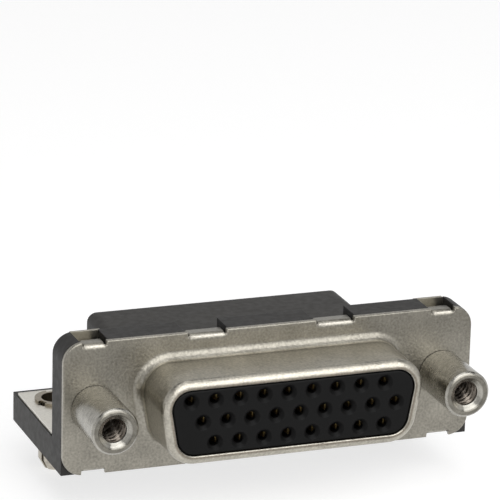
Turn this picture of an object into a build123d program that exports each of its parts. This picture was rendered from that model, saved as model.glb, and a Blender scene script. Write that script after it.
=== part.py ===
from build123d import *
import os
from math import cos, radians, sin, tan

# A right-angle high-density D-sub socket with 26 contacts, for a circuit board.
# X runs across the connector, Y from the mating side to the rear, and Z up.
# Z = 0 is the face of the board, Y = 0 is the front face of the metal flange,
# and X = 0 is the middle of the connector. All sizes are in millimetres.

# Metal flange and the whole body
flange_width = 39.14
flange_height = 12.5
flange_corner = 1.9
sheet = 0.45
screw_spacing = 33.32
body_depth = 15.3

# D-shaped collar, measured outside
collar_width = 24.66
collar_height = 7.9
collar_depth = 6.2
collar_corner = 2.6
collar_slope = 10
nose_lip = 0.85
nose_chamfer = 0.42

# Tabs that fold back from the flange and clamp the moulding
outer_tab_width = 2.0
inner_tab_width = 3.4
inner_tab_place = 6.12
tab_drop = 0.25
tab_bend = 0.55
tab_crest = 1.4
tab_fall = 28
tab_reach = 3.1
tab_relief = 0.25
tab_relief_depth = 0.12
tab_corner = 0.45
tab_clearance = 0.1
tab_notch_gap = 0.3

# Moulded housing
frame_back = 3.2
frame_corner = 1.85
hood_width = 25.0
hood_rise = 3.5
hood_roof = 1.2
hood_wall = 1.35
hood_bottom = 1.7
hood_edge = 0.9
foot_thickness = 2.75
latch_notch_width = 0.6
latch_notch_height = 0.35
latch_notch_depth = 0.8
latch_notch_level = 3.65

# Contact field
pitch = 2.29
row_gap = 1.98
first_drop = 8.89
drop_step = 2.54

# Contact: a folded box with two sprung beams in front, and a tail bent down to the board
contact_width = 1.1
contact_height = 0.76
contact_sheet = 0.2
contact_setback = 1.1
beam_length = 4.2
beam_pinch = 0.26
beam_lead_in = 0.5
tail_width = 0.5
tail_thickness = 0.4
tail_bend = 0.45
tail_below_board = 2.9
tail_point = 0.5

# Front insulator that holds the contacts
insert_fit = 0.1
insert_recess = 0.1
insert_base_rim = 0.9
insert_base_depth = 1.2
mouth_width = 1.36
mouth_narrowing = 0.26
mouth_length = 0.8
cavity_fit = 0.05
passage_fit = 0.1

# Comb that spaces the tails
comb_bottom = 1.1
comb_thickness = 1.5
comb_snap = 0.04
comb_flare = 0.95
comb_neck_length = 0.35
comb_tip_slope = 0.55
comb_tip_rise = 1.2
comb_tail_gap = 0.06
comb_ear = 0.45
comb_ear_length = 1.6
comb_ear_place = 6.2
comb_fit = 0.1

# Angle bracket of tinned sheet, one on each side
bracket_sheet = 0.3
bracket_width = 5.85
bracket_reach = 2.79
bracket_rear = 14.15
bracket_bend = 0.5
bracket_chamfer = 1.55
bracket_top_gap = 0.05
peg_radius = 0.36
peg_sides = 10
peg_fit = 0.05
peg_place = 8.6
slot_width = 1.8
slot_reach = 5.85
slot_top = 4.1
rib_fit = 0.06

# Board lock: a sheet cup whose four prongs snap into the board
lock_place = 11.43
lock_radius = 1.6
lock_shoulder = 2.5
lock_knee = 1.05
lock_knee_level = 3.45
lock_tip = 0.45
lock_below_board = 3.65
lock_sheet = 0.25
lock_slit = 0.3
lock_slit_top = 0.9
lock_slit_turn = 20
lock_rim = 1.95
lock_fit = 0.06
lock_foot_fit = 0.2
lock_notch_width = 0.8
lock_notch_count = 3
lock_notch_depth = 0.4

# Riveted standoff that takes the mating connector's screw
standoff_radius = 2.17
standoff_length = 6.23
standoff_chamfer = 0.28
rivet_radius = 1.6
rivet_flare_radius = 2.05
rivet_flare_length = 0.75
rivet_bore = 1.35
rivet_fit = 0.05
thread_bore = 1.13
thread_length = 5.6
thread_lead_in = 1.48

axis_height = flange_height / 2
screw_x = screw_spacing / 2
tab_top = flange_height - tab_drop
hood_top = axis_height + hood_rise
insert_front = insert_recess - collar_depth
comb_top = comb_bottom + comb_thickness
bracket_outer = screw_x + bracket_reach
bracket_inner = bracket_outer - bracket_width
bracket_back = frame_back + bracket_sheet
insert_base_back = sheet + insert_base_depth
plate_top = foot_thickness + bracket_sheet
hood_inside = hood_width - 2 * hood_wall
tail_clear = tail_thickness / 2 + comb_tail_gap
comb_pocket = tail_width + 2 * comb_tail_gap
comb_finger = pitch / 2 - comb_pocket
comb_neck = tail_width - comb_snap

# Rows from top to bottom: name, height above the D axis, contacts, first column and drop row
contact_rows = (
    ("top", row_gap, 9, -4.25, 2),
    ("middle", 0, 9, -3.75, 1),
    ("bottom", -row_gap, 8, -3.25, 0),
)


def front_plane(y):
    """A plane at this Y that looks out of the mating side, with its origin on the D axis."""
    return Plane(origin=(0, y, axis_height), x_dir=(1, 0, 0), z_dir=(0, -1, 0))


def d_outline(inset):
    """Draw the collar's D, moved inwards by inset: wide side up, slanted ends, round corners."""
    corner = collar_corner - inset
    top = collar_height / 2 - inset
    centre_x = collar_width / 2 - collar_corner
    centre_z = collar_height / 2 - collar_corner
    slope = radians(collar_slope)

    def half_width(z):
        return centre_x + (corner + sin(slope) * (z - centre_z)) / cos(slope)

    with BuildLine() as outline:
        Polyline(
            (-half_width(top), top),
            (half_width(top), top),
            (half_width(-top), -top),
            (-half_width(-top), -top),
            close=True,
        )
    face = make_face(outline.edges())
    fillet(face.vertices(), corner)


def row_places(row):
    """The X and Z of each contact of a row, from the D axis."""
    name, height, count, first, drop = row
    return [((first + i) * pitch, height) for i in range(count)]


def drop_place(row):
    """How far behind the flange a row's tails go into the board."""
    return first_drop + row[4] * drop_step


def contact_places():
    return [place for row in contact_rows for place in row_places(row)]


def tab_sketch():
    """A tab's section in Y and Z: bent back a little below the top edge, then down to the moulding."""
    top = tab_top
    start = top - tab_bend
    fall = radians(tab_fall)
    end_z = top - (tab_reach - tab_crest) * tan(fall)
    with BuildLine() as section:
        Line((sheet, start), (0, start))
        CenterArc((tab_bend, start), tab_bend, 180, -90)
        Polyline(
            (tab_bend, top),
            (tab_crest, top),
            (tab_reach, end_z),
            (tab_reach - sheet * sin(fall), end_z - sheet * cos(fall)),
            (tab_crest - sheet * tan(fall / 2), top - sheet),
            (tab_bend, top - sheet),
        )
        CenterArc((tab_bend, start), tab_bend - sheet, 90, 90)
    make_face(section.edges())


def notch_sketch():
    """The section in Y and Z that the moulding loses under and behind a tab."""
    top = flange_height
    floor = tab_top - sheet - tab_clearance
    beyond = frame_back + 1
    drop = (beyond - tab_crest) * tan(radians(tab_fall))
    with BuildLine() as section:
        Polyline(
            (0, floor - tab_bend),
            (sheet + tab_clearance, floor - tab_bend),
            (tab_bend, floor),
            (tab_crest - sheet, floor),
            (beyond, floor - drop),
            (beyond, top + 1),
            (0, top + 1),
            close=True,
        )
    make_face(section.edges())


tab_spans = (
    (-screw_x, outer_tab_width),
    (-inner_tab_place, inner_tab_width),
    (inner_tab_place, inner_tab_width),
    (screw_x, outer_tab_width),
)

# Clamping tabs along the top edge, with the corners cut off at their free ends
with BuildPart() as clamp_tabs:
    for middle, width in tab_spans:
        with BuildSketch(Plane.YZ.offset(middle - width / 2)):
            tab_sketch()
        extrude(amount=width)
    tab_ends = clamp_tabs.faces().group_by(Axis.Y)[-1]
    thickness_edges = tab_ends.edges().filter_by(Axis.X, reverse=True)
    chamfer(thickness_edges, tab_corner)

# Front shell: one drawn sheet with flange, collar, rolled nose and eight tabs
with BuildPart() as front_shell:
    with BuildSketch(front_plane(sheet)):
        RectangleRounded(flange_width, flange_height, flange_corner)
    extrude(amount=sheet)
    with BuildSketch(front_plane(sheet)):
        d_outline(0)
    extrude(amount=sheet + collar_depth)
    nose_edges = front_shell.faces().sort_by(Axis.Y)[0].edges()
    chamfer(nose_edges, nose_chamfer)
    with BuildSketch(front_plane(sheet)):
        d_outline(sheet)
    extrude(amount=collar_depth, mode=Mode.SUBTRACT)
    with BuildSketch(front_plane(sheet)):
        d_outline(nose_lip)
    extrude(amount=sheet + collar_depth, mode=Mode.SUBTRACT)
    for middle, width in tab_spans:
        cuts = (
            (width, tab_drop + tab_bend),
            (width + 2 * tab_relief, tab_drop + tab_relief_depth),
        )
        for cut_width, depth in cuts:
            with Locations((middle, 0, 0), (middle, 0, flange_height)):
                Box(cut_width, 2 * sheet, 2 * depth, mode=Mode.SUBTRACT)
    add(clamp_tabs.part)
    mirror(clamp_tabs.part, about=Plane.XY.offset(axis_height))
    with BuildSketch(front_plane(sheet)):
        with Locations((-screw_x, 0), (screw_x, 0)):
            Circle(rivet_radius + rivet_fit)
    extrude(amount=sheet, mode=Mode.SUBTRACT)

# The hollow of one mouth, in the middle of the D: an eight-sided funnel that leads the pin in
with BuildPart() as mouth:
    with Locations((0, insert_front, axis_height)):
        for turn, mode in ((0, Mode.ADD), (45, Mode.INTERSECT)):
            Wedge(
                mouth_width,
                mouth_length,
                mouth_width,
                mouth_narrowing,
                mouth_narrowing,
                mouth_width - mouth_narrowing,
                mouth_width - mouth_narrowing,
                rotation=(0, turn, 0),
                align=(Align.CENTER, Align.MIN, Align.CENTER),
                mode=mode,
            )

# Socket insert: the black D block, with a mouth and a square cavity for each contact
with BuildPart() as socket_insert:
    with BuildSketch(front_plane(insert_base_back)):
        d_outline(-insert_base_rim)
    extrude(amount=insert_base_depth)
    with BuildSketch(front_plane(sheet)):
        d_outline(sheet + insert_fit)
    extrude(amount=collar_depth - insert_fit)
    with BuildSketch(front_plane(sheet)):
        d_outline(nose_lip + insert_fit)
    extrude(amount=sheet - insert_front)
    with Locations(*[(x, 0, z) for x, z in contact_places()]):
        add(mouth.part, mode=Mode.SUBTRACT)
    with BuildSketch(front_plane(insert_front + mouth_length)):
        with Locations(*contact_places()):
            Rectangle(contact_width + 2 * cavity_fit, contact_height + 2 * cavity_fit)
    extrude(amount=-(collar_depth + insert_base_back), mode=Mode.SUBTRACT)

# Housing: frame, hood and two feet in one moulding
with BuildPart() as housing:
    with BuildSketch(front_plane(frame_back)) as frame_outline:
        Rectangle(flange_width, flange_height)
        fillet(frame_outline.vertices().group_by(Axis.Y)[-1], frame_corner)
    extrude(amount=frame_back - sheet)
    hood_height = hood_top - hood_bottom
    with BuildSketch(front_plane(body_depth)) as hood_outline:
        with Locations((0, (hood_top + hood_bottom) / 2 - axis_height)):
            Rectangle(hood_width, hood_height)
        fillet(hood_outline.vertices().group_by(Axis.Y)[-1], hood_edge)
    extrude(amount=body_depth - frame_back)
    foot_width = (flange_width - hood_width) / 2
    foot_middle = (flange_width + hood_width) / 4
    with Locations((-foot_middle, 0, 0), (foot_middle, 0, 0)):
        with Locations((0, frame_back, 0)):
            Box(
                foot_width,
                body_depth - frame_back,
                foot_thickness,
                align=(Align.CENTER, Align.MIN, Align.MIN),
            )
    with Locations((0, frame_back, 0)):
        Box(
            hood_inside,
            body_depth,
            hood_top - hood_roof,
            align=(Align.CENTER, Align.MIN, Align.MIN),
            mode=Mode.SUBTRACT,
        )
    with BuildSketch(Plane.YZ.offset(screw_x - slot_width / 2 + rib_fit)):
        with BuildLine():
            Polyline(
                (frame_back, 0),
                (frame_back, slot_top - rib_fit),
                (bracket_back, slot_top - rib_fit),
                (slot_reach - rib_fit, plate_top),
                (slot_reach - rib_fit, 0),
                close=True,
            )
        make_face()
    gusset = extrude(amount=slot_width - 2 * rib_fit)
    mirror(gusset, about=Plane.YZ)
    with BuildSketch(Plane.XY.offset(foot_thickness)):
        with Locations((-screw_x, peg_place), (screw_x, peg_place)):
            RegularPolygon(peg_radius, peg_sides)
    extrude(amount=bracket_sheet)
    with BuildSketch(front_plane(insert_base_back + insert_fit)):
        d_outline(-insert_base_rim - insert_fit)
    extrude(amount=insert_base_depth + insert_fit, mode=Mode.SUBTRACT)
    with BuildSketch(front_plane(frame_back)):
        with Locations(*contact_places()):
            Rectangle(tail_width + 2 * passage_fit, tail_thickness + 2 * passage_fit)
    extrude(amount=frame_back, mode=Mode.SUBTRACT)
    with BuildSketch(front_plane(frame_back)):
        with Locations((-screw_x, 0), (screw_x, 0)):
            Circle(rivet_radius + rivet_fit)
    extrude(amount=frame_back, mode=Mode.SUBTRACT)
    with BuildSketch(Plane.XY):
        with Locations((-screw_x, lock_place), (screw_x, lock_place)):
            Circle(lock_radius + lock_foot_fit)
    extrude(amount=foot_thickness, mode=Mode.SUBTRACT)
    for middle, width in tab_spans:
        notch_width = width + 2 * tab_notch_gap
        with BuildSketch(Plane.YZ.offset(middle - notch_width / 2)):
            notch_sketch()
        notch = extrude(amount=notch_width, mode=Mode.SUBTRACT)
        mirror(notch, about=Plane.XY.offset(axis_height), mode=Mode.SUBTRACT)
    notch_x = hood_width / 2 - hood_wall + latch_notch_width / 2
    with Locations((-notch_x, body_depth, latch_notch_level), (notch_x, body_depth, latch_notch_level)):
        Box(latch_notch_width, 2 * latch_notch_depth, latch_notch_height, mode=Mode.SUBTRACT)
    ear_socket_x = hood_inside / 2
    ear_middle = comb_bottom + comb_thickness / 2
    with Locations((-ear_socket_x, comb_ear_place, ear_middle), (ear_socket_x, comb_ear_place, ear_middle)):
        Box(
            2 * (comb_ear + comb_fit),
            comb_ear_length + 2 * comb_fit,
            comb_thickness + 2 * comb_fit,
            mode=Mode.SUBTRACT,
        )


def slot_sketch(x, front, row):
    """One slot of the comb in X and Y: a pocket for the tails, a neck and a flared way in."""
    neck = drop_place(row) + tail_clear
    with BuildLine() as outline:
        Polyline(
            (x - comb_pocket / 2, front),
            (x - comb_pocket / 2, neck),
            (x - comb_neck / 2, neck + comb_neck_length),
            (x - comb_flare / 2, body_depth),
            (x + comb_flare / 2, body_depth),
            (x + comb_neck / 2, neck + comb_neck_length),
            (x + comb_pocket / 2, neck),
            (x + comb_pocket / 2, front),
            close=True,
        )
    make_face(outline.edges())


# Pin spacer: a comb that slides in under the hood, one slot to each column of tails
with BuildPart() as pin_spacer:
    end_row, inner_row = contact_rows[0], contact_rows[1]
    end_column = row_places(end_row)[0][0]
    comb_width = 2 * (comb_pocket / 2 + comb_finger - end_column)
    comb_front = frame_back + comb_fit
    first_slot = first_drop - tail_clear
    with BuildSketch(Plane.XY.offset(comb_bottom)):
        with Locations((0, (comb_front + body_depth) / 2)):
            Rectangle(comb_width, body_depth - comb_front)
        with Locations((0, (comb_front + first_slot) / 2)):
            Rectangle(hood_inside - 2 * comb_fit, first_slot - comb_front)
        with Locations((0, comb_ear_place)):
            Rectangle(hood_inside + 2 * comb_ear, comb_ear_length)
    extrude(amount=comb_thickness)
    with BuildSketch(Plane.XY.offset(comb_bottom)):
        for x, z in row_places(end_row):
            slot_sketch(x, first_slot, end_row)
        for x, z in row_places(inner_row):
            slot_sketch(x, first_slot + drop_step, inner_row)
    extrude(amount=comb_thickness, mode=Mode.SUBTRACT)
    with BuildSketch(Plane.YZ.offset(end_column)):
        with BuildLine():
            Polyline(
                (body_depth - comb_tip_slope, comb_top),
                (body_depth, comb_top - comb_tip_rise),
                (body_depth, comb_top),
                close=True,
            )
        make_face()
    extrude(amount=-2 * end_column, mode=Mode.SUBTRACT)


def beam_outline(front, back):
    """The folded contact from above: a box behind, and two beams that pinch the pin in front."""
    half = contact_width / 2
    root = front + beam_length
    pinch = front + beam_lead_in
    right = (
        (half, back),
        (half, root),
        (beam_pinch + contact_sheet, pinch),
        (half, front),
        (half - contact_sheet, front),
        (beam_pinch, pinch),
        (half - contact_sheet, root),
    )
    left = [(-x, y) for x, y in reversed(right)]
    with BuildLine() as outline:
        Polyline(*right, *left, close=True)
    make_face(outline.edges())


def place_contact(row, x):
    """A contact: sprung beams in its cavity, and a flat tail bent down through the board."""
    name, height, count, first, drop = row
    z = axis_height + height
    down = drop_place(row)
    half = tail_thickness / 2
    tip = -tail_below_board
    bend_middle = tail_bend * (1 - cos(radians(45)))
    with BuildPart() as contact:
        with BuildSketch(Plane(origin=(x, 0, z - contact_height / 2))):
            beam_outline(contact_setback - collar_depth, insert_base_back)
        extrude(amount=contact_height)
        with BuildSketch(Plane.YZ.offset(x - tail_width / 2)):
            with BuildLine():
                Polyline(
                    (insert_base_back, z - half),
                    (insert_base_back, z + half),
                    (down + half - tail_bend, z + half),
                    (down + half - bend_middle, z + half - bend_middle),
                    (down + half, z + half - tail_bend),
                    (down + half, tip + tail_point),
                    (down + half / 2, tip),
                    (down - half / 2, tip),
                    (down - half, tip + tail_point),
                    (down - half, z - half),
                    close=True,
                )
            make_face()
        extrude(amount=tail_width)
    return contact.part


def place_bracket():
    """The right-hand angle bracket: plate on the foot, leg behind the frame, holes and slot."""
    outer = bracket_bend + bracket_sheet
    corner = (frame_back + outer, foot_thickness + outer)
    top = flange_height - bracket_top_gap
    with BuildPart() as bracket:
        with BuildSketch(Plane.YZ.offset(bracket_inner)):
            with BuildLine():
                Line((bracket_back, top), (frame_back, top))
                Line((frame_back, top), (frame_back, corner[1]))
                CenterArc(corner, outer, 180, 90)
                Polyline(
                    (corner[0], foot_thickness),
                    (bracket_rear, foot_thickness),
                    (bracket_rear, plate_top),
                    (corner[0], plate_top),
                )
                CenterArc(corner, bracket_bend, 270, -90)
                Line((bracket_back, corner[1]), (bracket_back, top))
            make_face()
        extrude(amount=bracket_width)
        leg_corners = bracket.edges().filter_by(Axis.Y).group_by(Axis.Z)[-1]
        chamfer(leg_corners, bracket_chamfer)
        with BuildSketch(front_plane(bracket_back)):
            with Locations((screw_x, 0)):
                Circle(rivet_radius + rivet_fit)
        extrude(amount=bracket_sheet, mode=Mode.SUBTRACT)
        with BuildSketch(Plane.XY.offset(foot_thickness)):
            with Locations((screw_x, lock_place)):
                Circle(lock_radius + lock_fit)
                with PolarLocations(lock_radius + lock_fit, lock_notch_count, start_angle=90):
                    Rectangle(2 * lock_notch_depth, lock_notch_width)
            with Locations((screw_x, peg_place)):
                RegularPolygon(peg_radius + peg_fit, peg_sides)
        extrude(amount=bracket_sheet, mode=Mode.SUBTRACT)
        with Locations((screw_x, frame_back, foot_thickness)):
            Box(
                slot_width,
                slot_reach - frame_back,
                slot_top - foot_thickness,
                align=(Align.CENTER, Align.MIN, Align.MIN),
                mode=Mode.SUBTRACT,
            )
    return bracket.part


def place_lock():
    """The right-hand board lock: a rimmed cup, slit into four prongs that turn in at the end."""
    tip_level = -lock_below_board
    with BuildPart() as lock:
        with BuildSketch(Plane.XZ):
            with BuildLine():
                Polyline(
                    (lock_radius - lock_sheet, plate_top + lock_sheet),
                    (lock_rim, plate_top + lock_sheet),
                    (lock_rim, plate_top),
                    (lock_radius, plate_top),
                    (lock_radius, -lock_shoulder),
                    (lock_knee, -lock_knee_level),
                    (lock_tip, tip_level),
                    (lock_tip, tip_level + lock_sheet),
                    (lock_radius - lock_sheet, -lock_shoulder),
                    close=True,
                )
            make_face()
        revolve(axis=Axis.Z)
        with Locations((0, 0, tip_level)):
            for turn in (45 + lock_slit_turn, 135 + lock_slit_turn):
                Box(
                    2 * lock_rim,
                    lock_slit,
                    lock_slit_top - tip_level,
                    rotation=(0, 0, turn),
                    align=(Align.CENTER, Align.CENTER, Align.MIN),
                    mode=Mode.SUBTRACT,
                )
        with BuildSketch(Plane.XY.offset(plate_top)):
            with PolarLocations(lock_rim, lock_notch_count, start_angle=90):
                Rectangle(2 * (lock_rim - lock_radius), lock_notch_width)
        extrude(amount=lock_sheet, mode=Mode.SUBTRACT)
    return lock.part.locate(Location((screw_x, lock_place, 0)))


def place_standoff():
    """The right-hand standoff: threaded barrel in front, shank and rolled-over rivet behind."""
    flare_end = bracket_back + rivet_flare_length
    with BuildPart() as standoff:
        with BuildSketch(Plane.XY.offset(axis_height)):
            with BuildLine():
                Polyline(
                    (thread_bore, thread_length - standoff_length),
                    (thread_bore, thread_lead_in - thread_bore - standoff_length),
                    (thread_lead_in, -standoff_length),
                    (standoff_radius - standoff_chamfer, -standoff_length),
                    (standoff_radius, standoff_chamfer - standoff_length),
                    (standoff_radius, 0),
                    (rivet_radius, 0),
                    (rivet_radius, bracket_back),
                    (rivet_flare_radius, bracket_back),
                    (rivet_bore, flare_end),
                    (rivet_bore, thread_length - standoff_length),
                    close=True,
                )
            make_face()
        revolve(axis=Axis((0, 0, axis_height), (0, 1, 0)))
    return standoff.part.locate(Location((screw_x, 0, 0)))


os.makedirs("parts", exist_ok=True)
front_shell.part.label = "front_shell"
export_step(front_shell.part, "parts/front_shell.step")
socket_insert.part.label = "socket_insert"
export_step(socket_insert.part, "parts/socket_insert.step")
housing.part.label = "housing"
export_step(housing.part, "parts/housing.step")
pin_spacer.part.label = "pin_spacer"
export_step(pin_spacer.part, "parts/pin_spacer.step")


def export_named(part, name):
    part.label = name
    export_step(part, f"parts/{name}.step")


side_pieces = (
    ("bracket", place_bracket()),
    ("board_lock", place_lock()),
    ("standoff", place_standoff()),
)
for piece_name, right_piece in side_pieces:
    export_named(right_piece, f"right_{piece_name}")
    export_named(right_piece.mirror(Plane.YZ), f"left_{piece_name}")

for row in contact_rows:
    for number, (x, z) in enumerate(row_places(row), start=1):
        export_named(place_contact(row, x), f"{row[0]}_contact_{number}")
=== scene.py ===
import math

import bmesh
import bpy
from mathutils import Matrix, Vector


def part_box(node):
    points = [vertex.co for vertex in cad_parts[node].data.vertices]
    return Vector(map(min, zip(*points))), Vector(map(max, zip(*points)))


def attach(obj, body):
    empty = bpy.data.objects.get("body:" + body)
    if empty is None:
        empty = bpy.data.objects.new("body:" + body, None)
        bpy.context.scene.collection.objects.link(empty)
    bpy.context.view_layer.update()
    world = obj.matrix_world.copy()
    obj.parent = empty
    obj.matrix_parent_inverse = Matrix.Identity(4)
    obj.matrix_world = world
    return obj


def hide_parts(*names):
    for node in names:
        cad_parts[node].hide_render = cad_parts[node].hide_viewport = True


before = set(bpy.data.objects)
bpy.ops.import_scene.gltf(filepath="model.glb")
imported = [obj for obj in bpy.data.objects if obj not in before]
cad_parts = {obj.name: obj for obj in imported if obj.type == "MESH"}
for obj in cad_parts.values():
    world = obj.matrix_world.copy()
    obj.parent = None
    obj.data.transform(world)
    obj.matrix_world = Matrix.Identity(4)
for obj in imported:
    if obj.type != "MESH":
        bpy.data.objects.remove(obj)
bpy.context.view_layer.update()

# Lengths are in millimetres in the part's own frame: X across, Y to the rear, Z up off the board.
MM = 0.001

# Outer sizes, from the frame
shell_low, shell_high = (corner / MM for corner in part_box("front_shell"))
standoff_low, standoff_high = (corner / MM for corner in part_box("right_standoff"))
insert_back = (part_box("socket_insert")[1] / MM).y
flange_half = shell_high.x
flange_top = shell_high.z
collar_depth = -shell_low.y
axis_height = flange_top / 2
screw_x = (standoff_low.x + standoff_high.x) / 2

# Front shell
sheet = 0.45
flange_corner = 1.9
flange_edge = 0.16
flange_back_edge = 0.05
collar_width = 24.66
collar_height = 7.9
collar_corner = 2.6
collar_slope = math.radians(10)
nose_lip = 0.85
nose_radius = 0.7
root_radius = 0.8
lip_edge = 0.08
rivet_hole_radius = 1.65

# Tabs
outer_tab_width = 2.0
inner_tab_width = 3.4
inner_tab_place = 6.12
tab_drop = 0.25
tab_bend = 0.55
tab_crest = 1.4
tab_fall = math.radians(28)
tab_reach = 3.1
tab_corner = 0.6

# The notches beside each tab: how deep, and how far from its side at the floor's two ends and at the top
relief_depth = 0.37
relief_near = 0.05
relief_far = 0.08
relief_top = 0.12

# Socket insert and its mouths
insert_recess = 0.1
insert_gap = 0.1
insert_edge = 0.16
insert_base_rim = 0.9
pitch = 2.29
row_gap = 1.98
contact_rows = ((row_gap, 9, -4.25), (0, 9, -3.75), (-row_gap, 8, -3.25))
mouth_radius = 0.76
mouth_edge = 0.05
mouth_throat = 0.43
mouth_funnel = 0.355
mouth_length = 0.8
cavity_radius = 0.78

# Standoffs
standoff_chamfer = 0.28
turned_edge = 0.04
rivet_radius = 1.6
rivet_bore = 1.35
rivet_flare_radius = 2.05
rivet_flare_length = 0.75
rivet_flare_edge = 0.1
bracket_back = 3.5
thread_bore = 1.13
thread_depth = 0.3
thread_pitch = 0.635
thread_length = 5.6
thread_lead_in = 1.58

# The thread's form: how steep its flanks are, and how flat its crest is
thread_flank = 1.3
thread_crest = 0.15

# How finely round forms are divided
relief_steps = 5
corner_steps = 14
edge_steps = 4
tab_end_steps = 6
collar_radius_steps = 8
insert_edge_steps = 5
mouth_steps = 36
turned_steps = 72
roll_steps = 12
thread_steps_per_pitch = 8
floor_steps = 96
floor_rings = 4
cove_steps = 12

# Meshes: points closer than this are one, and edges sharper than this stay sharp
weld = 0.0005
sharp_angle = math.radians(40)

# How large the grain and the clouding of each finish are
plating_grain = 0.22
plating_cloud = 2.6
turning_ring = 0.09
turning_scuff = 0.5
moulding_cloud = 3.5
moulding_gloss = 0.6
moulding_grain = 0.14

# A noise lies mostly between these, so colours and ranges are spread over them
noise_low = 0.3
noise_high = 0.7

# Studio: a floor that curves up into a wall, how far it is lifted to white, and the light of the room
cove_radius = 1200
cove_bend = 500
cove_top = 1500
floor_grey = 0.36
floor_lift = 0.74
room_light = 0.12

# Camera, as fitted to the photograph
camera_place = Vector((-105.74, -274.43, 113.77))
camera_forward = Vector((0.33581, 0.89107, -0.30534))
camera_up = Vector((0.08380, 0.29461, 0.95193))
camera_lens = 249.98
sensor_width = 36.0


def arc(centre, radius, start, end, steps):
    """Points on an arc, from one angle to another in degrees."""
    angles = [math.radians(start + (end - start) * i / steps) for i in range(steps + 1)]
    return [(centre[0] + radius * math.cos(a), centre[1] + radius * math.sin(a)) for a in angles]


def d_points(inset):
    """The collar's D around the connector's axis, in X and Z, moved inwards by inset."""
    radius = collar_corner - inset
    top_x = collar_width / 2 - collar_corner
    top_z = collar_height / 2 - collar_corner
    low_x = top_x - 2 * top_z * math.tan(collar_slope)
    slope = math.degrees(collar_slope)
    right = arc((top_x, top_z), radius, 90, -slope, corner_steps)
    right += arc((low_x, -top_z), radius, -slope, -90, corner_steps)
    left = [(-x, z) for x, z in reversed(right)]
    return [(x, z + axis_height) for x, z in right + left]


def circle_points(x, z, radius, steps):
    """A circle across Y, in X and Z, in the same direction as the D."""
    return arc((x, z), radius, 90, 90 - 360 * (steps - 1) / steps, steps - 1)


def ring(bm, points, y):
    """Adds one closed ring of vertices at this Y."""
    return [bm.verts.new((x, y, z)) for x, z in points]


def bridge(bm, first, second, skip=()):
    """Joins two rings of as many vertices with quads."""
    count = len(first)
    for i in range(count):
        if i in skip:
            continue
        j = (i + 1) % count
        bm.faces.new((first[i], first[j], second[j], second[i]))


def loft(bm, rings):
    """Joins each ring to the next."""
    for first, second in zip(rings, rings[1:]):
        bridge(bm, first, second)


def ring_edges(bm, vertices):
    """The edges round a ring, made where they don't exist yet."""
    edges = []
    for i, vertex in enumerate(vertices):
        after = vertices[(i + 1) % len(vertices)]
        edges.append(bm.edges.get((vertex, after)) or bm.edges.new((vertex, after)))
    return edges


def fill_flat(bm, rings):
    """Fills the flat area between the first ring and the holes in it."""
    edges = [edge for loop in rings for edge in ring_edges(bm, loop)]
    bmesh.ops.triangle_fill(bm, use_beauty=True, use_dissolve=False, edges=edges, normal=(0, 1, 0))


def finish_piece(bm, name, material, slot, *nodes):
    """Turns a mesh in millimetres into a piece that stands for CAD nodes."""
    bmesh.ops.remove_doubles(bm, verts=bm.verts, dist=weld)
    loose = [vertex for vertex in bm.verts if not vertex.link_faces]
    bmesh.ops.delete(bm, geom=loose, context="VERTS")
    bmesh.ops.recalc_face_normals(bm, faces=bm.faces)
    bmesh.ops.scale(bm, vec=(MM, MM, MM), verts=bm.verts)
    mesh = bpy.data.meshes.new(name)
    bm.to_mesh(mesh)
    bm.free()
    mesh.shade_smooth()
    mesh.set_sharp_from_angle(angle=sharp_angle)
    mesh.materials.append(material)
    piece = bpy.data.objects.new(name, mesh)
    bpy.context.scene.collection.objects.link(piece)
    weighting = piece.modifiers.new("flat faces stay flat", "WEIGHTED_NORMAL")
    weighting.keep_sharp = True
    apply_modifiers(piece)
    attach(piece, "root")
    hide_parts(*nodes)
    return piece


def apply_modifiers(piece):
    """Replaces the piece's mesh by the one its modifiers make."""
    depsgraph = bpy.context.evaluated_depsgraph_get()
    result = bpy.data.meshes.new_from_object(piece.evaluated_get(depsgraph))
    piece.modifiers.clear()
    piece.data = result


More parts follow.
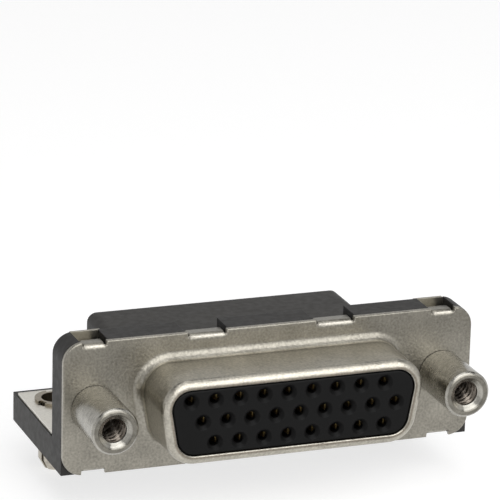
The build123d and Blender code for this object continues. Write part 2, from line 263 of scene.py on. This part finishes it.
class Finish:
    """A material's node tree, with short calls for the nodes that these finishes use."""

    def __init__(self, name):
        self.material = bpy.data.materials.new(name)
        self.material.use_nodes = True
        self.nodes = self.material.node_tree.nodes
        self.links = self.material.node_tree.links
        self.shader = self.nodes["Principled BSDF"]
        self.place = self.nodes.new("ShaderNodeTexCoord").outputs["Object"]

    def set(self, **values):
        """Sets the shader's sockets to constants."""
        for socket, value in values.items():
            self.shader.inputs[socket.replace("_", " ")].default_value = value

    def noise(self, size, detail=3.0, stretch=(1, 1, 1)):
        """Noise whose blotches are about size millimetres across."""
        mapping = self.nodes.new("ShaderNodeMapping")
        mapping.inputs["Scale"].default_value = [axis / (size * MM) for axis in stretch]
        self.links.new(self.place, mapping.inputs["Vector"])
        texture = self.nodes.new("ShaderNodeTexNoise")
        texture.inputs["Scale"].default_value = 1.0
        texture.inputs["Detail"].default_value = detail
        self.links.new(mapping.outputs["Vector"], texture.inputs["Vector"])
        return texture.outputs["Fac"]

    def ramp(self, source, dark, light):
        """Runs from a dark to a light colour over the middle of a noise."""
        node = self.nodes.new("ShaderNodeValToRGB")
        stops = ((noise_low, dark), (noise_high, light))
        for element, (position, colour) in zip(node.color_ramp.elements, stops):
            element.position = position
            element.color = (*colour, 1)
        self.links.new(source, node.inputs["Fac"])
        return node.outputs["Color"]

    def where(self, axis, start, end):
        """0 before start and 1 past end, in millimetres along X, Y or Z."""
        split = self.nodes.new("ShaderNodeSeparateXYZ")
        self.links.new(self.place, split.inputs["Vector"])
        node = self.nodes.new("ShaderNodeMapRange")
        node.inputs["From Min"].default_value = start * MM
        node.inputs["From Max"].default_value = end * MM
        self.links.new(split.outputs[axis], node.inputs["Value"])
        return node.outputs["Result"]

    def mix(self, factor, first, second):
        """Blends from the first node's colour to the second's by factor."""
        node = self.nodes.new("ShaderNodeMix")
        node.data_type = "RGBA"
        # These places hold the colour sockets; the ones with the same names before them are for numbers.
        first_colour, second_colour, colour = node.inputs[6], node.inputs[7], node.outputs[2]
        self.links.new(factor, node.inputs["Factor"])
        self.links.new(first, first_colour)
        self.links.new(second, second_colour)
        return colour

    def spread(self, source, middle, share):
        """Maps a noise onto the range from a share below the middle value to a share above it."""
        node = self.nodes.new("ShaderNodeMapRange")
        node.inputs["From Min"].default_value = noise_low
        node.inputs["From Max"].default_value = noise_high
        node.inputs["To Min"].default_value = middle * (1 - share)
        node.inputs["To Max"].default_value = middle * (1 + share)
        self.links.new(source, node.inputs["Value"])
        return node.outputs["Result"]

    def add(self, first, second, weight):
        """first, a number or another node's output, plus weight times second."""
        node = self.nodes.new("ShaderNodeMath")
        node.operation = "MULTIPLY_ADD"
        node.inputs[1].default_value = weight
        self.links.new(second, node.inputs[0])
        if isinstance(first, float):
            node.inputs[2].default_value = first
        else:
            self.links.new(first, node.inputs[2])
        return node.outputs["Value"]

    def blend(self, first, second, share):
        """Takes its share of the first noise, and the rest of the second."""
        return self.add(self.add(0.0, first, share), second, 1 - share)

    def bump(self, height, depth, edge=0.0):
        """Raises the surface by up to depth millimetres, over edges rounded by edge millimetres."""
        node = self.nodes.new("ShaderNodeBump")
        node.inputs["Distance"].default_value = depth * MM
        self.links.new(height, node.inputs["Height"])
        if edge:
            bevel = self.nodes.new("ShaderNodeBevel")
            bevel.samples = 4
            bevel.inputs["Radius"].default_value = edge * MM
            self.links.new(bevel.outputs["Normal"], node.inputs["Normal"])
        self.links.new(node.outputs["Normal"], self.shader.inputs["Normal"])

    def drive(self, socket, source):
        """Links a node's output to a socket of the shader."""
        self.links.new(source, self.shader.inputs[socket])


def shades(finish, source, colour, variation, changes=()):
    """A colour that a noise darkens and lightens by variation.

    Each change blends it into another colour between two places along an axis.
    """
    dark = [channel * (1 - variation) for channel in colour]
    light = [min(1, channel * (1 + variation)) for channel in colour]
    shade = finish.ramp(source, dark, light)
    for axis, start, end, other in changes:
        changed = shades(finish, source, other, variation)
        shade = finish.mix(finish.where(axis, start, end), shade, changed)
    return shade


def plated_metal(name, colour, roughness, grain, variation=0.2, edge=0.0, changes=()):
    """Bright plating over pressed sheet: fine grain, broad clouding and a little uneven gloss."""
    finish = Finish(name)
    finish.set(Metallic=1.0)
    fine = finish.noise(plating_grain)
    cloud = finish.noise(plating_cloud, detail=4.0)
    mixed = finish.blend(cloud, fine, share=0.4)
    finish.drive("Base Color", shades(finish, mixed, colour, variation, changes))
    finish.drive("Roughness", finish.spread(cloud, roughness, share=0.15))
    finish.bump(fine, grain, edge)
    return finish.material


def turned_metal(name, colour, roughness, groove, variation=0.2, changes=()):
    """Plated turned brass: fine rings round the axis, crossed by a few bright handling marks."""
    finish = Finish(name)
    finish.set(Metallic=1.0)
    rings = finish.noise(turning_ring, detail=2.0, stretch=(0.03, 1, 0.03))
    scuffs = finish.noise(turning_scuff, detail=4.0, stretch=(1, 1.6, 1))
    mixed = finish.blend(rings, scuffs, share=0.4)
    finish.drive("Base Color", shades(finish, mixed, colour, variation, changes))
    finish.drive("Roughness", finish.spread(scuffs, roughness, share=0.25))
    finish.bump(finish.add(rings, scuffs, weight=0.5), groove)
    return finish.material


def moulded_plastic(name, colour, roughness, specular, grain=0.006, edge=0.12, changes=()):
    """Black glass-filled moulding: nearly matt, with a fine skin texture and faint flow clouds."""
    finish = Finish(name)
    finish.set(Specular_IOR_Level=specular)
    cloud = finish.noise(moulding_cloud, detail=4.0)
    gloss = finish.noise(moulding_gloss)
    finish.drive("Base Color", shades(finish, cloud, colour, variation=0.12, changes=changes))
    finish.drive("Roughness", finish.spread(gloss, roughness, share=0.1))
    finish.bump(finish.noise(moulding_grain), grain, edge)
    return finish.material


# Colours of the platings; some are painted shades and highlights, marked below
bright_tin = (0.75, 0.725, 0.66)
tin = (0.36, 0.35, 0.315)
# Painted shade: the bracket's plate darkens towards its rear end
rear_painted_shade = (0.42, 0.4, 0.35)
# Painted shade and reflection: the bracket's upright leg is darker than its plate
upright_painted_shade = (0.36, 0.34, 0.29)
gold = (0.5, 0.36, 0.15)
flange_low = (0.268, 0.253, 0.217)
# Painted shade: the flange turns to this darker copy of its plating towards its top
flange_top_painted_shade = (0.195, 0.184, 0.157)
# The collar's colour is lighter than the flange's: partly its drawn, burnished metal, partly painted sheen
drawn = (0.4, 0.378, 0.326)
# Painted highlight: a bright band round the root fillet
root_painted_highlight = (0.72, 0.685, 0.6)
# Painted shade: the foremost part of the collar's nose and lip is darker
lip_painted_shade = (0.22, 0.195, 0.16)
# Painted highlight: a lighter band on the front of each tab's bend
bend_painted_highlight = (0.4, 0.38, 0.335)
# Painted shade: the standoff's front end and chamfers are darker than its barrel
end_face_painted_shade = (0.18, 0.17, 0.146)
turned = (0.36, 0.347, 0.313)
# Painted shadow: a dark ring where the standoff meets the flange
standoff_root_painted_shadow = (0.06, 0.053, 0.045)
tapped = (0.2, 0.175, 0.15)
lock_prong = (0.5, 0.465, 0.4)
# Painted shade: the lock's upper part, inside the bracket's hole, is darker and browner
lock_painted_shade = (0.3, 0.265, 0.21)

# Colours of the mouldings; the hood's is a painted lighter black
frame_black = (0.0135, 0.0122, 0.011)
# Painted light: a lighter copy of the housing's black for the hood, though frame and hood are one moulding
hood_painted_light = (0.024, 0.022, 0.0195)
insert_black = (0.0035, 0.0035, 0.0035)
spacer_black = (0.0165, 0.0157, 0.0148)

# The finishes. Each change says along which axis and between which places the colour turns into the next;
# many of them paint shade or highlights.
shell_metal = plated_metal(
    "shell_plating", flange_low, roughness=0.34, grain=0.03, variation=0.35,
    changes=(
        # Painted shade: the flange darkens from Z 6.5 to 10.5
        ("Z", 6.5, 10.5, flange_top_painted_shade),
        # From the root forwards the collar turns lighter: partly burnished drawn metal, partly painted
        # sheen
        ("Y", -0.02, -0.4, drawn),
        # Painted highlight: a bright band on the root fillet, from Y -0.4 to -0.6, then back to the
        # collar's colour
        ("Y", -0.4, -0.6, root_painted_highlight),
        ("Y", -0.74, -0.86, drawn),
        # Painted shade: the very front of the nose and lip darkens
        ("Y", -6.18, -6.197, lip_painted_shade),
        # Painted highlight: the tab bends turn lighter from Y 0.02, then back to the flange's colour past Y
        # 0.13
        ("Y", 0.02, 0.12, bend_painted_highlight),
        ("Y", 0.13, 0.3, flange_low),
    ),
)
standoff_metal = turned_metal(
    # Painted shade: the front end starts darker, then the barrel turns to the turned colour
    "standoff_plating", end_face_painted_shade, roughness=0.26, groove=0.006, variation=0.35,
    changes=(
        ("Y", -6.2, -6.1, turned),
        # Painted shadow: dark from Y -0.05 to 0.2, where the standoff meets the flange
        ("Y", -0.14, -0.05, standoff_root_painted_shadow),
        ("Y", 0.2, 0.4, turned),
    ),
)
thread_metal = turned_metal("thread_plating", tapped, roughness=0.3, groove=0.01)
bracket_metal = plated_metal(
    "bracket_plating", bright_tin, roughness=0.34, grain=0.008, variation=0.12, edge=0.06,
    changes=(
        # Painted shade: the bracket darkens from Y 13.6 to 15.4
        ("Y", 13.6, 15.4, rear_painted_shade),
        # Painted shade: the bracket darkens upwards from Z 3.3 to 5
        ("Z", 3.3, 5, upright_painted_shade),
    ),
)
lock_metal = plated_metal(
    "lock_plating", lock_prong, roughness=0.32, grain=0.008, variation=0.3, edge=0.05,
    # Painted shade: the lock darkens upwards from Z 1 to 2.5
    changes=(("Z", 1, 2.5, lock_painted_shade),),
)
contact_metal = plated_metal(
    "contact_plating", gold, roughness=0.34, grain=0.004, edge=0.03,
    changes=(("Y", 1.6, 2, tin),),
)
housing_plastic = moulded_plastic(
    "housing_moulding", frame_black, roughness=0.55, specular=0.38,
    # Painted light: from Y 3 to 3.4 the moulding turns from the frame's black to the hood's lighter black
    changes=(("Y", 3, 3.4, hood_painted_light),),
)
insert_plastic = moulded_plastic(
    "insert_moulding", insert_black, roughness=0.45, specular=0.13, edge=0.0,
)
spacer_plastic = moulded_plastic("spacer_moulding", spacer_black, roughness=0.55, specular=0.4)


def edge_profile():
    """The sheet's edge from front to back: how far in from the outline, and how deep."""
    front = [(flange_edge - x, flange_edge - z) for x, z in arc((0, 0), flange_edge, 90, 0, edge_steps)]
    return front + [(0, sheet - flange_back_edge), (flange_back_edge, sheet)]


def tab_spans():
    """Each upper tab's middle and width, from left to right."""
    return (
        (-screw_x, outer_tab_width),
        (-inner_tab_place, inner_tab_width),
        (inner_tab_place, inner_tab_width),
        (screw_x, outer_tab_width),
    )


def tab_levels():
    """The heights above the axis where a tab leaves the flange, and where its reliefs begin."""
    base = flange_top - axis_height - tab_drop - tab_bend
    floor = flange_top - axis_height - relief_depth
    return base, floor


def relief_angles():
    """The angles round a tab's bend up to the floor of its reliefs."""
    base, floor = tab_levels()
    end = math.degrees(math.asin((floor - base) / tab_bend))
    return [end * i / relief_steps for i in range(relief_steps + 1)]


def flange_points(inset):
    """The flange's outline moved inwards by inset, and the points that each tab is joined to."""
    top = flange_top - axis_height - inset
    radius = flange_corner - inset
    centre_x = flange_half - flange_corner
    centre_z = flange_top - axis_height - flange_corner
    base, floor = tab_levels()
    rise = [base + tab_bend * math.sin(math.radians(angle)) for angle in relief_angles()]
    rise[-1] -= inset
    first_relief = -screw_x - outer_tab_width / 2 - relief_top - inset
    end = math.degrees(math.acos((first_relief + centre_x) / radius))
    corner = arc((-centre_x, centre_z), radius, 180, end, corner_steps)
    upper = list(corner)
    joins = []
    for middle, width in tab_spans():
        strip = width / 2 + relief_near
        slope = (
            (width / 2 + relief_top + inset, top),
            (width / 2 + relief_far + inset, floor - inset),
        )
        left = [(middle - x, z) for x, z in slope]
        if abs(left[0][0] - upper[-1][0]) < weld:
            left = left[1:]
        upper += left
        falling = list(range(len(upper), len(upper) + len(rise)))
        upper += [(middle - strip, z) for z in reversed(rise)]
        upper += [(middle - width / 2 + inset, base), (middle + width / 2 - inset, base)]
        rising = list(range(len(upper), len(upper) + len(rise)))
        upper += [(middle + strip, z) for z in rise]
        joins.append((list(reversed(falling)), rising))
        right = [(middle + x, z) for x, z in reversed(slope)]
        upper += right[:1] if middle >= screw_x else right
    upper += [(-x, z) for x, z in reversed(corner)]
    lower = [(-x, -z) for x, z in upper]
    joins += [([i + len(upper) for i in first], [i + len(upper) for i in last]) for first, last in joins]
    return [(x, z + axis_height) for x, z in upper + lower], joins


def tab_path():
    """A tab's outer line in Y and Z, as points and inward normals, and the lengths of its round end."""
    top = flange_top - tab_drop
    base = top - tab_bend
    angles = relief_angles()
    angles += [angles[-1] + (90 - angles[-1]) * i / edge_steps for i in range(1, edge_steps + 1)]
    path = []
    for angle in map(math.radians, angles):
        point = (tab_bend - tab_bend * math.cos(angle), base + tab_bend * math.sin(angle))
        path.append((point, (math.cos(angle), -math.sin(angle))))
    path.append(((tab_crest, top), (-math.sin(tab_fall / 2), -math.cos(tab_fall / 2))))
    slope_length = (tab_reach - tab_crest) / math.cos(tab_fall)
    fall = (-math.sin(tab_fall), -math.cos(tab_fall))
    turns = [math.radians(90 * i / tab_end_steps) for i in range(tab_end_steps + 1)]
    rounding = [tab_corner * (1 - math.sin(turn)) for turn in turns]
    for from_end in rounding:
        along = slope_length - from_end
        point = (tab_crest + along * math.cos(tab_fall), top - along * math.sin(tab_fall))
        path.append((point, fall))
    return path, rounding


def add_tab(bm, middle, width, upright):
    """One tab, as a strip with the sheet's rounded edges: bent back, then down onto the moulding."""
    profile = edge_profile()
    path, rounding = tab_path()
    plain = len(path) - len(rounding)
    sections = []
    for index, ((y, z), normal) in enumerate(path):
        half = width / 2
        if index >= plain:
            reach = tab_corner - rounding[index - plain]
            half -= tab_corner - math.sqrt(max(0, tab_corner**2 - reach**2))
        section = []
        for side in (-1, 1):
            line = []
            for inset, depth in profile:
                place_y = y + normal[0] * depth
                place_z = z + normal[1] * depth
                if not upright:
                    place_z = 2 * axis_height - place_z
                line.append(bm.verts.new((middle + side * (half - inset), place_y, place_z)))
            section += line if side < 0 else reversed(line)
        sections.append(section)
    count = len(profile)
    sides = [step for step in range(2 * count) if step % count != count - 1]
    for index, (first, second) in enumerate(zip(sections, sections[1:])):
        bridge(bm, first, second, skip=sides if index < relief_steps else ())
    bm.faces.new(sections[-1])
    return sections


def join_tab(bm, rings, columns, sections, upright):
    """Draws the flange's faces into a tab's sides, up to the reliefs, and closes the reliefs' floors."""
    count = len(edge_profile())
    lines = ([section[:count] for section in sections], [section[:count - 1:-1] for section in sections])
    if not upright:
        lines = lines[::-1]
    for column, line in zip(columns, lines):
        for layer in (0, count - 1):
            flange_side = [rings[layer][index] for index in column]
            tab_side = [line[step][layer] for step in range(len(column))]
            for step in range(len(column) - 1):
                bm.faces.new((flange_side[step], flange_side[step + 1], tab_side[step + 1], tab_side[step]))
        floor = [outline[column[-1]] for outline in rings]
        end = line[len(column) - 1]
        for step in range(count - 1):
            bm.faces.new((floor[step], floor[step + 1], end[step + 1], end[step]))


def build_front_shell():
    """The drawn shell: flange with pressed edges, collar with root and nose radii, and eight tabs."""
    bm = bmesh.new()
    profile = edge_profile()
    outline_rings = []
    for inset, depth in profile:
        points, joins = flange_points(inset)
        outline_rings.append(ring(bm, points, depth))
    joined = {index for falling, rising in joins for index in range(falling[-1], rising[-1])}
    for first, second in zip(outline_rings, outline_rings[1:]):
        bridge(bm, first, second, skip=joined)

    root_arc = arc((0, 0), root_radius, 90, 0, collar_radius_steps)
    root = [(-root_radius + x, -root_radius + y) for x, y in root_arc]
    nose_y = nose_radius - collar_depth
    nose_arc = arc((0, 0), nose_radius, 0, 90, collar_radius_steps)
    nose = [(nose_radius - x, nose_y - y) for x, y in nose_arc]
    lip = [(nose_lip - lip_edge, -collar_depth), (nose_lip, lip_edge - collar_depth)]
    inside = [(nose_lip, sheet - collar_depth), (sheet, sheet - collar_depth), (sheet, sheet)]
    collar_rings = [ring(bm, d_points(inset), y) for inset, y in root + nose + lip + inside]
    loft(bm, collar_rings)

    hole_rings = []
    for side in (-screw_x, screw_x):
        circle = circle_points(side, axis_height, rivet_hole_radius, mouth_steps)
        hole_rings.append((ring(bm, circle, 0), ring(bm, circle, sheet)))
    for front, back in hole_rings:
        bridge(bm, front, back)
    fill_flat(bm, [outline_rings[0], collar_rings[0]] + [front for front, back in hole_rings])
    fill_flat(bm, [outline_rings[-1], collar_rings[-1]] + [back for front, back in hole_rings])
    spans = tab_spans()
    tabs = [(middle, width, True) for middle, width in spans]
    tabs += [(-middle, width, False) for middle, width in spans]
    for (middle, width, upright), columns in zip(tabs, joins):
        sections = add_tab(bm, middle, width, upright)
        join_tab(bm, outline_rings, columns, sections, upright)
    finish_piece(bm, "front_shell_skin", shell_metal, "shell_nickel", "front_shell")


def contact_places():
    """The middle of each mouth, in X and Z."""
    places = []
    for z, count, first in contact_rows:
        places += [((first + i) * pitch, axis_height + z) for i in range(count)]
    return places


def build_socket_insert():
    """The black D block: rounded front edge, flared mouths, and a cavity behind each mouth."""
    bm = bmesh.new()
    front = insert_recess - collar_depth
    inset = nose_lip + insert_gap
    edge_arc = arc((0, 0), insert_edge, 0, 90, insert_edge_steps)
    edge = [(inset + insert_edge - x, front + insert_edge - y) for y, x in edge_arc]
    step = sheet + insert_gap
    inner = [
        (inset, sheet + insert_gap - collar_depth),
        (step, sheet + insert_gap - collar_depth),
        (step, sheet),
        (-insert_base_rim, sheet),
        (-insert_base_rim, insert_back),
    ]
    rings = [ring(bm, d_points(i), y) for i, y in edge + inner]
    loft(bm, rings)
    mouths, backs = [], []
    for x, z in contact_places():
        steps = (
            (mouth_radius, front),
            (mouth_radius - mouth_edge, front + mouth_edge),
            (mouth_throat, front + mouth_funnel),
            (mouth_throat, front + mouth_length),
            (cavity_radius, front + mouth_length),
            (cavity_radius, insert_back),
        )
        bore = [ring(bm, circle_points(x, z, radius, mouth_steps), y) for radius, y in steps]
        loft(bm, bore)
        mouths.append(bore[0])
        backs.append(bore[-1])
    fill_flat(bm, [rings[0]] + mouths)
    fill_flat(bm, [rings[-1]] + backs)
    finish_piece(bm, "socket_insert_skin", insert_plastic, "insert_plastic", "socket_insert")


def turned_ring(bm, x, radius, y):
    """A circle round a standoff's axis at this Y."""
    return ring(bm, circle_points(x, axis_height, radius, turned_steps), y)


def thread_rings(bm, x, front, back):
    """The tapped bore between two places, its groove winding round the axis."""
    count = int((back - front) / thread_pitch * thread_steps_per_pitch)
    rings = []
    for i in range(count + 1):
        y = front + (back - front) * i / count
        ends = min(1, i / thread_steps_per_pitch, (count - i) / thread_steps_per_pitch)
        vertices = []
        for k in range(turned_steps):
            turn = k / turned_steps
            wave = abs(((y / thread_pitch + turn) % 1) * 2 - 1)
            groove = max(0, min(1, thread_flank * wave - thread_crest))
            radius = thread_bore + thread_depth * ends * groove
            angle = math.radians(90) - turn * math.tau
            place = (x + radius * math.cos(angle), y, axis_height + radius * math.sin(angle))
            vertices.append(bm.verts.new(place))
        rings.append(vertices)
    return rings


def build_standoff(x, name, node):
    """A turned standoff: chamfered end, tapped bore, plain shank and rolled-over rivet."""
    bm = bmesh.new()
    front = standoff_low.y
    radius = (standoff_high.x - standoff_low.x) / 2
    flare_end = bracket_back + rivet_flare_length
    roll = (rivet_flare_radius - rivet_bore) / 2
    roll_radius = rivet_bore + roll
    lead_in = thread_lead_in - thread_bore
    outside = [
        (thread_bore + turned_edge, front + lead_in - turned_edge),
        (thread_lead_in, front + turned_edge),
        (thread_lead_in + turned_edge, front),
        (radius - standoff_chamfer - turned_edge, front),
        (radius - standoff_chamfer + turned_edge, front + turned_edge),
        (radius - turned_edge, front + standoff_chamfer - turned_edge),
        (radius, front + standoff_chamfer + turned_edge),
        (radius, -turned_edge),
        (radius - turned_edge, 0),
        (rivet_radius, 0),
        (rivet_radius, bracket_back),
        (rivet_flare_radius - rivet_flare_edge, bracket_back),
        (rivet_flare_radius, bracket_back + rivet_flare_edge),
    ]
    outside += arc((roll_radius, flare_end - roll), roll, 0, 180, roll_steps)
    rings = [turned_ring(bm, x, r, y) for r, y in outside]
    thread_back = front + thread_length
    rings.append(turned_ring(bm, x, rivet_bore, thread_back))
    thread = thread_rings(bm, x, front + lead_in, thread_back)
    loft(bm, rings + list(reversed(thread)) + [rings[0]])
    piece = finish_piece(bm, name, standoff_metal, "standoff_nickel", node)
    piece.data.materials.append(thread_metal)
    thread_reach = (thread_bore + thread_depth) * MM
    thread_front, thread_end = (front + lead_in) * MM, thread_back * MM
    for polygon in piece.data.polygons:
        across = math.hypot(polygon.center.x - x * MM, polygon.center.z - axis_height * MM)
        if across < thread_reach and thread_front < polygon.center.y < thread_end:
            polygon.material_index = 1


def finish_cad_nodes():
    """Gives the CAD nodes that stay their plastics and platings."""
    finishes = {
        "housing": housing_plastic,
        "pin_spacer": spacer_plastic,
        "bracket": bracket_metal,
        "board_lock": lock_metal,
        "contact": contact_metal,
    }
    for name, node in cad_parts.items():
        for word, material in finishes.items():
            if word in name:
                node.data.materials.clear()
                node.data.materials.append(material)


def add_lamp(name, place, aim, size, radiance):
    """A soft lamp of this size and brightness at a place in millimetres, turned to a point."""
    data = bpy.data.lights.new(name, "AREA")
    data.shape = "RECTANGLE"
    data.size, data.size_y = size[0] * MM, size[1] * MM
    data.energy = radiance * math.pi * data.size * data.size_y
    lamp = bpy.data.objects.new(name, data)
    lamp.visible_camera = False
    lamp.location = Vector(place) * MM
    lamp.rotation_euler = (Vector(aim) - Vector(place)).to_track_quat("-Z", "Y").to_euler()
    bpy.context.scene.collection.objects.link(lamp)


def white_where_seen(material, shader, strength):
    """Lifts a surface towards white for the camera, and in metal and glass, but not as light."""
    nodes, links = material.node_tree.nodes, material.node_tree.links
    rays = nodes.new("ShaderNodeLightPath")
    seen = nodes.new("ShaderNodeMath")
    seen.operation = "MAXIMUM"
    links.new(rays.outputs["Is Camera Ray"], seen.inputs[0])
    links.new(rays.outputs["Is Glossy Ray"], seen.inputs[1])
    also = nodes.new("ShaderNodeMath")
    also.operation = "MAXIMUM"
    links.new(seen.outputs["Value"], also.inputs[0])
    links.new(rays.outputs["Is Transmission Ray"], also.inputs[1])
    level = nodes.new("ShaderNodeMath")
    level.operation = "MULTIPLY"
    level.inputs[1].default_value = strength
    links.new(also.outputs["Value"], level.inputs[0])
    links.new(level.outputs["Value"], shader.inputs["Emission Strength"])


def build_floor():
    """A round pale floor below the lowest point of the part, which curves up into a wall."""
    floor_level = min(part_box(name)[0].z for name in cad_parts) / MM
    flat = [(cove_radius * i / floor_rings, 0) for i in range(1, floor_rings)]
    cove = arc((cove_radius, cove_bend), cove_bend, -90, 0, cove_steps)
    profile = flat + cove + [(cove_radius + cove_bend, cove_top)]
    turns = [math.tau * i / floor_steps for i in range(floor_steps)]
    bm = bmesh.new()
    rings = []
    for radius, height in profile:
        z = floor_level + height
        rings.append([bm.verts.new((radius * math.cos(a), radius * math.sin(a), z)) for a in turns])
    loft(bm, rings)
    bm.faces.new(rings[0])
    bmesh.ops.recalc_face_normals(bm, faces=bm.faces)
    bmesh.ops.scale(bm, vec=(MM, MM, MM), verts=bm.verts)
    mesh = bpy.data.meshes.new("studio_floor")
    bm.to_mesh(mesh)
    bm.free()
    mesh.shade_smooth()
    floor = bpy.data.objects.new("studio_floor", mesh)
    bpy.context.scene.collection.objects.link(floor)
    material = bpy.data.materials.new("pale_floor")
    material.use_nodes = True
    shader = material.node_tree.nodes["Principled BSDF"]
    shader.inputs["Base Color"].default_value = (floor_grey, floor_grey, floor_grey, 1)
    shader.inputs["Roughness"].default_value = 0.9
    shader.inputs["Specular IOR Level"].default_value = 0.1
    shader.inputs["Emission Color"].default_value = (1, 1, 1, 1)
    white_where_seen(material, shader, floor_lift)
    mesh.materials.append(material)


def light_room():
    """An even white room, with soft lamps overhead and in front."""
    world = bpy.data.worlds.new("room")
    world.use_nodes = True
    background = world.node_tree.nodes["Background"]
    background.inputs["Color"].default_value = (1, 1, 1, 1)
    background.inputs["Strength"].default_value = room_light
    bpy.context.scene.world = world
    add_lamp("overhead", place=(-20, 20, 420), aim=(0, 0, 0), size=(460, 300), radiance=1.3)
    add_lamp("front", place=(60, -350, 300), aim=(0, 0, 5), size=(620, 550), radiance=2.7)


def build_camera():
    """The camera at the fitted place, turned the fitted way."""
    data = bpy.data.cameras.new("camera")
    data.lens = camera_lens
    data.sensor_width = sensor_width
    data.clip_start = 0.01
    data.clip_end = 50
    camera = bpy.data.objects.new("camera", data)
    side = camera_forward.cross(camera_up).normalized()
    up = side.cross(camera_forward).normalized()
    axes = (side, up, -camera_forward.normalized())
    for column in range(3):
        for row in range(3):
            camera.matrix_world[row][column] = axes[column][row]
    camera.location = camera_place * MM
    bpy.context.scene.collection.objects.link(camera)
    bpy.context.scene.camera = camera


build_front_shell()
build_socket_insert()
build_standoff(screw_x, "right_standoff_skin", "right_standoff")
build_standoff(-screw_x, "left_standoff_skin", "left_standoff")
finish_cad_nodes()
build_floor()
light_room()
build_camera()
bpy.context.scene.view_settings.view_transform = "Standard"
